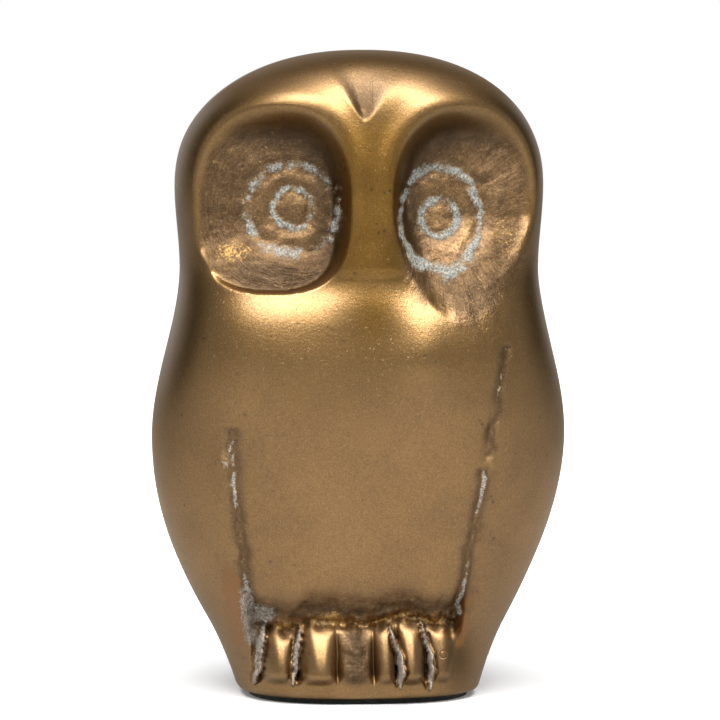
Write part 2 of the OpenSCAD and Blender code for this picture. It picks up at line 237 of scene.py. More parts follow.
def carve_face(x, y, z, masks):
    """Sinks the sockets and raises the brows and beak along Y, with a dip between the brows."""
    cut = np.zeros_like(x)
    brow = np.zeros_like(x)
    for s in SOCKETS:
        rho, t, inward, up = socket_place(x, z, s)
        drop = ease(0, 1, t**.85)
        inside = rho < 1
        cut = np.maximum(cut, inside*np.maximum(0, socket_floor(x, z, s) - y)*drop)
        brow = 1 - (1 - brow)*(1 - hump(rho - 1.08, .13)*ease(-.1, .6, up + .35*inward))
        floor = ease(.40, 1.1, t + .2*coarse(x, 0*x, z, 2.5))
        masks["raw"] = np.maximum(masks["raw"], inside*floor)
        if s["side"] > 0:
            spokes = fine(9*inward, 9*up, 0*x, 1.0) + .6*coarse(20*inward, 20*up, 0*x, 1.0)
            masks["raw"] = np.maximum(masks["raw"], ease(-.05, .22, 1.02 - rho + .10*spokes)*(
                1 - ease(66, 72, z)))
        # Painted shade over the upper part of the socket's floor, by the socket's own amount.
        masks["shade"] = np.maximum(masks["shade"], inside*s["floor_shade"]*ease(.5, 1, t)*ease(69, 74, z))
        low = 1 - ease(66.5, 70, z) if s["side"] < 0 else .8*(1 - ease(60, 70, z))
        masks["shade"] = np.maximum(
            masks["shade"], inside*.75*low*ease(.1, .7, t)*ease(-24, -17, x))
        overhang = ease(-.35, .45, .6*up + .8*inward)
        masks["shade"] = np.maximum(masks["shade"], inside*(
            ease(.1, .8, t)*(1 - ease(.55, 1.15, (1 - rho)*1.9))*overhang))
    beak = (1 - ease(1.4, 6.6, np.abs(x)))*ease(65.2, 67.2, z)*(1 - ease(80, 90, z))
    climb = np.maximum(z - 89.2, 0)
    beside = x + .9 + .26*climb
    spread = .4 + np.where(beside > 0, 1.1, .45)*climb
    valley = (1 - ease(0, 1, np.abs(beside)/spread))*ease(0, 2, climb)*(1 - ease(94, CROWN_Z, z))
    notch = np.clip((1 - ease(.45, 1.1, np.abs(beside)/spread))*ease(0, .8, climb), 0, 1)
    notch = notch*(1 - ease(93, 99, z))
    masks["raw"] = np.maximum(masks["raw"], .3*notch)
    masks["shade"] = np.maximum(masks["shade"], .5*notch)
    masks["olive_and_shade"] = np.maximum(masks["olive_and_shade"], (1 - ease(3, 7.5, np.abs(x)))*ease(62, 68, z)
                                * (1 - ease(86, 93, z)))
    # Painted shade: darkens the middle of the breast between the two highlight lobes.
    masks["olive_and_shade"] = np.maximum(masks["olive_and_shade"], .9*hump(x - .3, 3.2)*hump(z - 60.5, 5))
    rims = np.minimum(socket_place(x, z, SOCKETS[0])[0], socket_place(x, z, SOCKETS[1])[0])
    # Dull tarnish over the crown, with painted shade reaching down over the brow's highlight band
    # and into the notch between the brows.
    brow_line = z - 95.2 + .0045*x**2
    dull_crown_and_shade = .75*ease(1.10, 1.22, rims)*ease(88, 93, z + .2*np.abs(x))
    masks["matte_and_shade"] = np.maximum(dull_crown_and_shade*ease(-2.6, 1.4, brow_line),
                                np.maximum(hump(brow_line - 1.0, 2.0), notch))
    keel = hump(x, 6)*hump(z - 65.5, 6.2)
    lobe = hump(x - 7.6, 4.2)*hump(z - 54, 6)
    # Painted highlight: bright specks on the left socket's shelf, the right socket's outer floor
    # and sparsely over the raw hollows.
    shine = np.maximum(.8*hump(x + 20.5, 3.6)*hump(z - 69.3, 2.0),
                       .5*hump(x - 21.5, 3.5)*hump(z - 72, 4))
    masks["glint"] = np.maximum(shine*ease(.3, .8, masks["raw"]), .3*masks["raw"])
    return cut - .45*brow - .7*beak - 2.0*keel - .9*lobe + valley


def engrave_eyes(x, y, z, masks):
    """Two worn rings round each eye, cut as soft grooves whose edges wander with the grain, with
    a broken crust in them, and the strokes of the tool that dressed the socket's floor."""
    depth = np.zeros_like(x)
    for eye in EYES:
        dx, dz = x - eye["x"], z - eye["z"]
        far = np.hypot(dx, dz)
        wander = .35*coarse(x, y, z, 2.0) + .2*fine(x, y, z, .8)
        outer = np.hypot(dx/eye["wide"], dz/eye["high"]) - 1
        outer = outer*(eye["wide"] + eye["high"])/2 + wander
        inner = far - eye["inner"] + .7*wander
        ring = np.maximum(hump(outer, 1.25), hump(inner, 1.05))
        crust = np.maximum(hump(outer, .64 + .4*ease(3, 7, -dz)), hump(inner, .56))*(
            eye["kept"] + .06 + .6*fine(x, y, z, 2.2) + .6*coarse(x, y, z, .9))
        # Painted shade along the ring grooves where no crust is left.
        groove_shade = .5*np.maximum(hump(outer, 1.5), hump(inner, 1.3))
        masks["shade"] = np.maximum(masks["shade"], groove_shade*(1 - np.clip(crust, 0, 1)))
        depth = np.maximum(depth, .42*ring - .22*np.clip(crust, 0, 1)*(1 + fine(x, y, z, .35)))
        masks["verdigris"] = np.maximum(masks["verdigris"], np.clip(crust, 0, 1))
        here = np.sign(x) == np.sign(eye["x"])
        near = here*ease(eye["high"] - 1, eye["high"] + 2, far)
        across = (np.stack([1.1*far, .16*dx, .16*dz]) if eye["strokes"] == "round" else
                  np.stack([9*dx/(far + .5), 9*dz/(far + .5), .22*far]))
        depth += .2*near*masks["raw"]*fine(*across, 1.0)
        masks["stroke"] = np.where(here, across, masks["stroke"])
        masks["dressed"] = np.maximum(masks["dressed"], near*masks["raw"])
    return depth


# ---------------------------------------------------------------- the wings and feet
def wing_lines(x, z):
    """Distances outside the left and the right wing line; inside them is the breast."""
    left = -(17.6 + .131*(z - HEM_Z)) - x
    right = x - (14.4 + .139*(z - HEM_Z))
    return left, right


def shape_wings(x, y, z, masks):
    """A low step at each wing line, with a thin broken seam of rough metal along it."""
    move = np.zeros_like(x)
    left, right = wing_lines(x, z)
    for out, top in zip((left, right), WING_TOPS):
        fade = ease(10, 12, z)*(1 - ease(top - 14, top, z))
        move -= WING_STEP*ease(-.2, .9, out)*hump(np.maximum(out, 0), 6)*fade
    flat = np.zeros_like(x)
    wander = .4*coarse(flat, flat, z, 3.0) + .25*fine(flat, flat, z, 1.1)
    for out, low, top, width, kept in ((left, 14, 43.2, .36, .85), (right, 14, 37.0, .34, .9),
                                       (right - .5, 38.6, 55.6, .28, .3)):
        run = ease(low - 1, low, z)*(1 - ease(top - .8, top, z))
        seam = hump(out + wander, width)*run
        groove = hump(out + wander, 2.4*width)*run
        move += .5*groove - .5*kept*seam*(.6 + .5*fine(x, y, z, .9))
        masks["residue"] = np.maximum(masks["residue"], np.clip(
            seam*(kept + .55*fine(flat, flat, z, 2.3) + .35*coarse(x, y, z, .8)), 0, 1))
        masks["shade"] = np.maximum(masks["shade"], groove*(1 - .8*kept*seam))
        masks["raw"] = np.maximum(masks["raw"], .5*hump(out + wander, 4*width)*run)
    blob = hump(left - 1.2 - .5*coarse(x, y, z, 1.1), .9)*hump(z - 37.4 - .5*fine(x, y, z, 1.1), .9)
    move -= .35*blob
    masks["residue"] = np.maximum(masks["residue"], .85*blob)
    return move


def shape_feet(x, y, z, masks):
    """The crease under the breast, the toes below it, and the rough flash between the toes."""
    left, right = wing_lines(x, z)
    inside = ease(-.8, .8, -left)*ease(-.8, .8, -right)
    hem = HEM_Z + .8*coarse(x, 0*x, 0*x, 6) + .35*fine(x, 0*x, 0*x, 1.7)
    crease = hump(z - hem, np.where(z > hem, 3.3, 1.7))
    above = (np.maximum(z - TOE_Z, 0)/(hem - 1.4 - TOE_Z))**1.45
    rise = np.where(z > TOE_Z, np.clip(1 - above, 0, 1),
                    1 - .5*((TOE_Z - z)/(TOE_Z - RIM_Z))**2)
    toe = np.zeros_like(x)
    for middle, half, share in TOES:
        toe = np.maximum(toe, share*np.sqrt(np.clip(1 - ((x - middle)/half)**2, 0, 1)))
    band = ease(-.2, 1.2, hem - .2 - z)*ease(LEDGE_Z, LEDGE_Z + 2.1, z)
    foot = band*(TOE_RECESS - TOE_RISE*toe*rise)
    rubble = inside*hump(z - hem + .9, 1.3)
    lump = hump(x + 1.7, 2.2)*(1 - ease(11, 13, z))*ease(2.5, 5, z)
    foot += rubble*grit(x, y, z, 1.2) + .4*lump*grit(x, y, z, 2.2)
    foot += .35*hump(z - hem - 1.4, 1.6)*grit(x, y, z, 1.0)
    flash = np.zeros_like(x)
    trench = np.zeros_like(x)
    for line, half in FLASHES:
        low, top = line[0][0], line[-1][0]
        heights, places = zip(*line)
        share = np.clip((z - low)/(top - low), 0, 1)
        leaf = half*np.sin(np.pi*share**.8)**.6 + .05
        off = (x - np.interp(z, heights, places) + .15*fine(x*0, y*0, z, 1.3))/leaf
        on = ease(low - .3, low + .5, z)*(1 - ease(top - .4, top + .5, z))
        flash = np.maximum(flash, (1 - ease(.55, 1.05, np.abs(off)))*on)
        trench = np.maximum(trench, (1 - ease(1.0, 1.7, np.abs(off)))*on)
    move = inside*(HEM_DEPTH*crease + foot)
    move += trench*.4 - flash*(2.3 + .4*fine(x, y, z, .9))
    masks["residue"] = np.maximum(masks["residue"], .9*flash)
    ragged_z = z - hem + .8*coarse(x, y, z, 3.0)
    masks["raw"] = np.maximum(masks["raw"], .95*inside*hump(ragged_z - .6, 2.3))
    masks["shade"] = np.maximum(masks["shade"], np.maximum(
        .5*trench*(1 - flash), .4*inside*hump(z - 14.8, 1.3)))
    valley = inside*(1 - ease(.15, .6, toe))*ease(3, 5, z)*(1 - ease(10, 12.5, z))
    masks["shade"] = np.maximum(masks["shade"], .7*valley)
    # Painted highlight: gold specks along the ridge above the toes, partly real polish.
    specks = hump(z - hem + .9 + .7*fine(x, y, z, 1.6), 1.2)
    masks["glint"] = np.maximum(masks["glint"], inside*specks*(.75 + .25*coarse(x, y, z, 2.5)))
    masks["toe"] = inside*toe*rise
    return move


def stain_and_darken_feet(x, y, z, masks):
    """Where the corners at the feet carry pale deposit and orange tarnish, and where the right
    corner, the rightmost toe and the middle lump are darkened.
    """
    left, right = wing_lines(x, z)
    corner_left = hump(x + 15.6, 3.0)*hump(z - 13.8, 2.2)
    strip = hump(left - .1, 1.7)*(1 - ease(15, 24, z))*ease(7, 10, z)
    masks["residue"] = np.maximum(masks["residue"], .9*np.maximum(corner_left, strip))
    masks["rust"] = np.maximum(hump(left - 2.2, 1.6)*ease(7, 10, z)*(1 - ease(18, 25, z)),
                               .62*hump(right - .8, 1.7)*ease(6, 9, z)*(1 - ease(15, 21, z)))
    masks["rust"] = np.maximum(masks["rust"], .6*masks["raw"]*hump(z - 12.9, 1.8))
    # Darker in the right corner by the wing line, and over the rightmost toe.
    masks["shade"] = np.maximum(
        masks["shade"], .9*hump(right + .1, 1.6)*ease(7, 10, z)*(1 - ease(16, 21, z)))
    masks["shade"] = np.maximum(
        masks["shade"], hump(x - 14.4, 2.7)*hump(z - 7, 5.5)*ease(.8, 2, z))
    inner_toe = hump(x + 1.7, 1.9)*(1 - ease(10.5, 13, z))*ease(2.5, 4.5, z)
    masks["raw"] = np.maximum(masks["raw"], inner_toe)
    masks["shade"] = np.maximum(masks["shade"], .7*inner_toe)


def sculpt(angle, z):
    """The finished skin: the plain body moved along Y by the face, wings, feet and cast grain."""
    x, y = plain_body(angle, z)
    z = z + 0*x
    masks = {name: np.zeros_like(x) for name in
             ("raw", "shade", "olive_and_shade", "satin", "matte_and_shade", "verdigris", "residue", "rust", "toe",
              "glint", "dressed")}
    masks["stroke"] = np.zeros((3,) + x.shape)
    ahead = ease(0, 3, -y)
    move = carve_face(x, y, z, masks)
    move += shape_wings(x, y, z, masks)
    move += shape_feet(x, y, z, masks)
    stain_and_darken_feet(x, y, z, masks)
    move += engrave_eyes(x, y, z, masks)
    rough = np.maximum(masks["raw"], .8*masks["residue"])
    move += rough*(.13*grit(x, y, z, 1.5) + .10*grit(x, z, y, .7))
    y = y + ahead*move
    for name in masks:
        if name != "stroke":
            masks[name] = masks[name]*ahead
    masks["satin"] = np.maximum(1 - ease(42, 56, z + 3*coarse(x, y, z, 9)), masks["matte_and_shade"])
    masks["satin"] *= 1 - .8*masks["toe"]
    swell = .06*coarse(x, y, z, 14) + .03*fine(x, y, z, 6)
    length = np.hypot(x, y) + 1e-6
    x, y = x*(1 + swell/length), y*(1 + swell/length)
    return x + along(z, LEAN), y, z, masks


# ---------------------------------------------------------------- meshes
def add_mesh(name, points, faces):
    """A smooth mesh object at the origin, from points in millimetres and faces of 3 or 4 points."""
    mesh = bpy.data.meshes.new(name)
    mesh.from_pydata((points*MM).tolist(), [], faces)
    mesh.polygons.foreach_set("use_smooth", np.full(len(mesh.polygons), True))
    mesh.validate()
    piece = bpy.data.objects.new(name, mesh)
    bpy.context.scene.collection.objects.link(piece)
    return piece


def shell_faces(rings, columns):
    """Quads between neighbouring rings, wound so that a surface of rising rings faces outwards,
    with a fan of triangles to a pole at each end; the poles are the last two points."""
    ring = np.arange(rings - 1)[:, None]*columns
    here = np.arange(columns)[None, :]
    after = (here + 1) % columns
    quads = np.stack([ring + here, ring + after, ring + columns + after, ring + columns + here], -1)
    last = (rings - 1)*columns
    first_pole, last_pole = rings*columns, rings*columns + 1
    low = [(int(b), int(a), first_pole) for a, b in zip(here[0], after[0])]
    high = [(int(last + a), int(last + b), last_pole) for a, b in zip(here[0], after[0])]
    return [tuple(q) for q in quads.reshape(-1, 4).tolist()] + low + high


def set_mask(piece, name, values):
    """Stores one number or one vector a point, which the shader nodes read by name."""
    kind, field = ("FLOAT", "value") if values.ndim == 1 else ("FLOAT_VECTOR", "vector")
    layer = piece.data.attributes.new(name, kind, "POINT")
    layer.data.foreach_set(field, values.ravel().astype(np.float32))


def crowded(columns, crowd):
    """Angles round the body from the back, closer together at the front."""
    t = np.linspace(-np.pi, np.pi, columns, endpoint=False)
    return t - crowd*np.sin(t)


def make_casting():
    """The casting as one closed skin: up the core's wall from its top to the plate's ledge,
    round the recess and the foot's edge, and up the sculpted outside to the crown."""
    columns = 312
    angle = crowded(columns, .58)
    levels = np.concatenate([
        np.linspace(RIM_Z, 17, 62, endpoint=False), np.linspace(17, 54, 58, endpoint=False),
        np.linspace(54, 92, 134, endpoint=False)])
    turn_low = math.asin(((92 - HEAD_Z)/(CROWN_Z - HEAD_Z))**(CROWN_POWER/2))
    turns = np.linspace(turn_low, math.pi/2, 28, endpoint=False)
    levels = np.concatenate([levels, HEAD_Z + (CROWN_Z - HEAD_Z)*np.sin(turns)**(2/CROWN_POWER)])
    level_grid, angle_grid = np.meshgrid(levels, angle, indexing="ij")
    x, y, z, masks = sculpt(angle_grid, level_grid)
    edge = RIM_WIDTH - .1
    core_side = [(LEDGE_Z, FOOT_HALF - FOOT_WALL, 0), (11, FOOT_HALF - 3.6, .1),
                 (40.5, WING_HALF - WALL, 0), (66.5, 23.7, 0), (HEAD_Z, 24.5, 0)]
    core_front = [(LEDGE_Z, FOOT_REACH - FOOT_WALL, 0), (15, FOOT_REACH - FOOT_WALL, 0),
                  (38, 20.2, 0), (64, 10.8, 0)]
    core_back = [(LEDGE_Z, FOOT_REACH - FOOT_WALL, 0), (14, FOOT_REACH - 3.2, .3),
                 (44, BACK_REACH - WALL, 0), (HEAD_Z, 18.8, 0)]
    core_top = CROWN_Z - WALL
    inner = []
    for height in (94, 90, 84, 76, 64, 52, 40, 28, 16, LEDGE_Z):
        c = crown(height, core_top, CROWN_POWER)
        inner.append((*section(angle, along(height, core_side)*c, along(height, core_front)*c,
                               along(height, core_back)*c, FOOT_POWER), height))
    for height in (LEDGE_Z, RIM_Z):
        inner.append((*section(angle, FOOT_HALF - edge, FOOT_REACH - edge, FOOT_REACH - edge,
                               FOOT_POWER), height))
    inner = np.array([np.stack([px, py, np.full(columns, h)], -1) for px, py, h in inner])
    outer = np.stack([x, y, z], -1)
    rings = np.concatenate([inner, outer])
    points = np.vstack([rings.reshape(-1, 3), [[0, 0, core_top], [0, 0, CROWN_Z]]])
    casting = add_mesh("brass_casting", points, shell_faces(len(rings), columns))
    for name, values in masks.items():
        flat = values.ravel()[:, None] if values.ndim == 2 else values.reshape(3, -1).T
        full = np.concatenate([np.zeros((inner.shape[0]*columns, flat.shape[1])), flat,
                               np.zeros((2, flat.shape[1]))])
        set_mask(casting, name, full[:, 0] if flat.shape[1] == 1 else full)
    return casting


def make_felt():
    """The felt pad: a slab with the foot's outline whose edge is rounded and a little frayed."""
    columns = 260
    angle = crowded(columns, 0)
    half_x, half_y = FELT_HIGH[0], FELT_HIGH[1]
    thick = FELT_HIGH[2] - FELT_LOW[2]
    profile = [(3.0, 0), (.35, 0), (.08, .12), (0, .4), (.06, .75), (.3, 1), (3.0, 1)]
    rings = []
    for inset, share in profile:
        fray = .07*(inset < 1)*fine(np.cos(angle)*half_x, np.sin(angle)*half_y,
                                    share*3 + 0*angle, .6)
        px, py = section(angle, half_x - inset - .07 + fray, half_y - inset - .07 + fray,
                         half_y - inset - .07 + fray, FOOT_POWER)
        rings.append(np.stack([px, py, np.full(columns, FELT_LOW[2] + share*thick)], -1))
    poles = [[0, 0, FELT_LOW[2]], [0, 0, FELT_HIGH[2]]]
    points = np.vstack([np.array(rings).reshape(-1, 3), poles])
    return add_mesh("felt_under_foot", points, shell_faces(len(rings), columns))


# ---------------------------------------------------------------- shader node helpers
class Nodes:
    """Adds and links the nodes of one material or group."""

    def __init__(self, tree):
        self.tree = tree

    def feed(self, socket, value):
        """Links an output to a socket, or sets the socket's own value."""
        if isinstance(value, bpy.types.NodeSocket):
            self.tree.links.new(value, socket)
        else:
            socket.default_value = value

    def add(self, kind, inputs=None, **settings):
        node = self.tree.nodes.new(kind)
        for name, value in settings.items():
            setattr(node, name, value)
        for key, value in (inputs or {}).items():
            self.feed(node.inputs[key], value)
        return node

    def maths(self, operation, a, b=0.0, c=0.0):
        return self.add("ShaderNodeMath", {0: a, 1: b, 2: c}, operation=operation).outputs[0]

    def remap(self, value, low, high, to_low=0.0, to_high=1.0):
        ends = {0: value, 1: low, 2: high, 3: to_low, 4: to_high}
        return self.add("ShaderNodeMapRange", ends).outputs[0]

    def blend(self, share, a, b):
        return self.add("ShaderNodeMix", {0: share, 6: a, 7: b}, data_type="RGBA").outputs[2]

    def mask(self, name):
        return self.add("ShaderNodeAttribute", attribute_name=name).outputs["Fac"]

    def place(self):
        return self.add("ShaderNodeTexCoord").outputs["Object"]

    def cloud(self, place, scale, detail=3.0, roughness=.55, distortion=0.0):
        return self.add("ShaderNodeTexNoise", {"Vector": place, "Scale": scale, "Detail": detail,
                        "Roughness": roughness, "Distortion": distortion}).outputs["Fac"]


def new_group(name, inputs, outputs):
    """An empty shader node group with named sockets; returns its nodes, inputs and output node."""
    tree = bpy.data.node_groups.new(name, "ShaderNodeTree")
    for label, kind, value in inputs:
        socket = tree.interface.new_socket(name=label, in_out="INPUT",
                                           socket_type="NodeSocket" + kind)
        socket.default_value = value
    for label, kind in outputs:
        tree.interface.new_socket(name=label, in_out="OUTPUT", socket_type="NodeSocket" + kind)
    nodes = Nodes(tree)
    return nodes, nodes.add("NodeGroupInput").outputs, nodes.add("NodeGroupOutput").inputs


def use_group(nodes, tree, values):
    """Places a group in a material with its own values."""
    node = nodes.add("ShaderNodeGroup", node_tree=tree)
    for key, value in values.items():
        nodes.feed(node.inputs[key], value)
    return node.outputs


def tarnish_group():
    """Cloudy tarnish: two sizes of noise blend a bright, a middle and a dark metal colour."""
    nodes, given, out = new_group("tarnish", [
        ("Bright", "Color", (.5, .35, .15, 1)), ("Middle", "Color", (.3, .2, .08, 1)),
        ("Dark", "Color", (.1, .07, .03, 1)), ("Cloud Scale", "Float", 90.0),
        ("Speck Scale", "Float", 1400.0), ("Age", "Float", .5)],
        [("Color", "Color"), ("Amount", "Float")])
    place = nodes.place()
    cloud = nodes.cloud(place, given["Cloud Scale"], 4, .6, .4)
    speck = nodes.cloud(place, given["Speck Scale"], 3, .65)
    amount = nodes.maths("ADD", nodes.maths("MULTIPLY", cloud, .52),
                         nodes.maths("MULTIPLY", speck, .48))
    amount = nodes.maths("ADD", amount, nodes.maths("SUBTRACT", given["Age"], .5))
    light = nodes.blend(nodes.remap(amount, .34, .54), given["Bright"], given["Middle"])
    nodes.feed(out["Color"], nodes.blend(nodes.remap(amount, .56, .74), light, given["Dark"]))
    nodes.feed(out["Amount"], nodes.remap(amount, .35, .7))
    return nodes.tree


def ragged_group():
    """Turns a soft mask into one with a crumbly edge, by noise that shifts its threshold."""
    nodes, given, out = new_group("ragged_edge", [
        ("Mask", "Float", 0.0), ("Scale", "Float", 1500.0), ("Fray", "Float", .5),
        ("Threshold", "Float", .5), ("Soft", "Float", .1)], [("Mask", "Float")])
    crumbs = nodes.cloud(nodes.place(), given["Scale"], 4, .7)
    shifted = nodes.maths("ADD", given["Mask"],
                          nodes.maths("MULTIPLY", nodes.maths("SUBTRACT", crumbs, .5),
                                      given["Fray"]))
    edge = nodes.maths("SUBTRACT", shifted, given["Threshold"])
    below = nodes.maths("MULTIPLY", given["Soft"], -1.0)
    nodes.feed(out["Mask"], nodes.remap(edge, below, given["Soft"]))
    return nodes.tree


def grain_group():
    """Surface height: a fine even grain, sparse pits and hairline scratches, with their depths."""
    nodes, given, out = new_group("metal_grain", [
        ("Grain Scale", "Float", 2600.0), ("Grain", "Float", .5), ("Pits", "Float", .3),
        ("Scratches", "Float", .04)], [("Height", "Float"), ("Pits", "Float")])
    place = nodes.place()
    grain = nodes.maths("MULTIPLY", nodes.cloud(place, given["Grain Scale"], 3, .6), given["Grain"])
    cells = nodes.add("ShaderNodeTexVoronoi", {"Vector": place, "Scale": 620.0, "Randomness": 1.0})
    sparse = nodes.remap(nodes.cloud(place, 260.0, 2, .5), .54, .66)
    pit = nodes.maths("MULTIPLY", nodes.remap(cells.outputs["Distance"], .10, .24, 1, 0), sparse)
    turned = nodes.add("ShaderNodeMapping", {"Vector": place, "Rotation": (.4, .7, .5),
                       "Scale": (1.0, 1.0, 14.0)}).outputs[0]
    lines = nodes.cloud(turned, 210.0, 2, .5, .2)
    aside = nodes.maths("ABSOLUTE", nodes.maths("SUBTRACT", lines, .5))
    scratch = nodes.remap(aside, 0, .012, 1, 0)
    height = nodes.maths("SUBTRACT", grain, nodes.maths("MULTIPLY", pit, given["Pits"]))
    height = nodes.maths("SUBTRACT", height, nodes.maths("MULTIPLY", scratch, given["Scratches"]))
    nodes.feed(out["Height"], height)
    nodes.feed(out["Pits"], pit)
    return nodes.tree


def pin_rings(nodes):
    """Thin rings where the ends of the core pins show in the skin, from object coordinates."""
    parts = nodes.add("ShaderNodeSeparateXYZ", {0: nodes.place()}).outputs
    rings = 0.0
    for x, z, side in PIN_MARKS:
        across = nodes.maths("SUBTRACT", parts["X"], x*MM)
        up = nodes.maths("SUBTRACT", parts["Z"], z*MM)
        far = nodes.maths("SQRT", nodes.maths("ADD", nodes.maths("MULTIPLY", across, across),
                                              nodes.maths("MULTIPLY", up, up)))
        line = nodes.maths("ABSOLUTE", nodes.maths("SUBTRACT", far, PIN_RING*MM))
        facing = nodes.maths("GREATER_THAN", nodes.maths("MULTIPLY", parts["Y"], float(side)), 0)
        ring = nodes.maths("MULTIPLY", nodes.remap(line, .04*MM, .16*MM, 1, 0), facing)
        rings = nodes.maths("MAXIMUM", rings, ring)
    return rings


def new_material(name):
    """An empty node material; returns it, its nodes and its Principled shader."""
    material = bpy.data.materials.new(name)
    material.use_nodes = True
    return material, Nodes(material.node_tree), material.node_tree.nodes["Principled BSDF"]


def dress(piece, material):
    """Gives a piece one material in place of what it had."""
    piece.data.materials.clear()
    piece.data.materials.append(material)


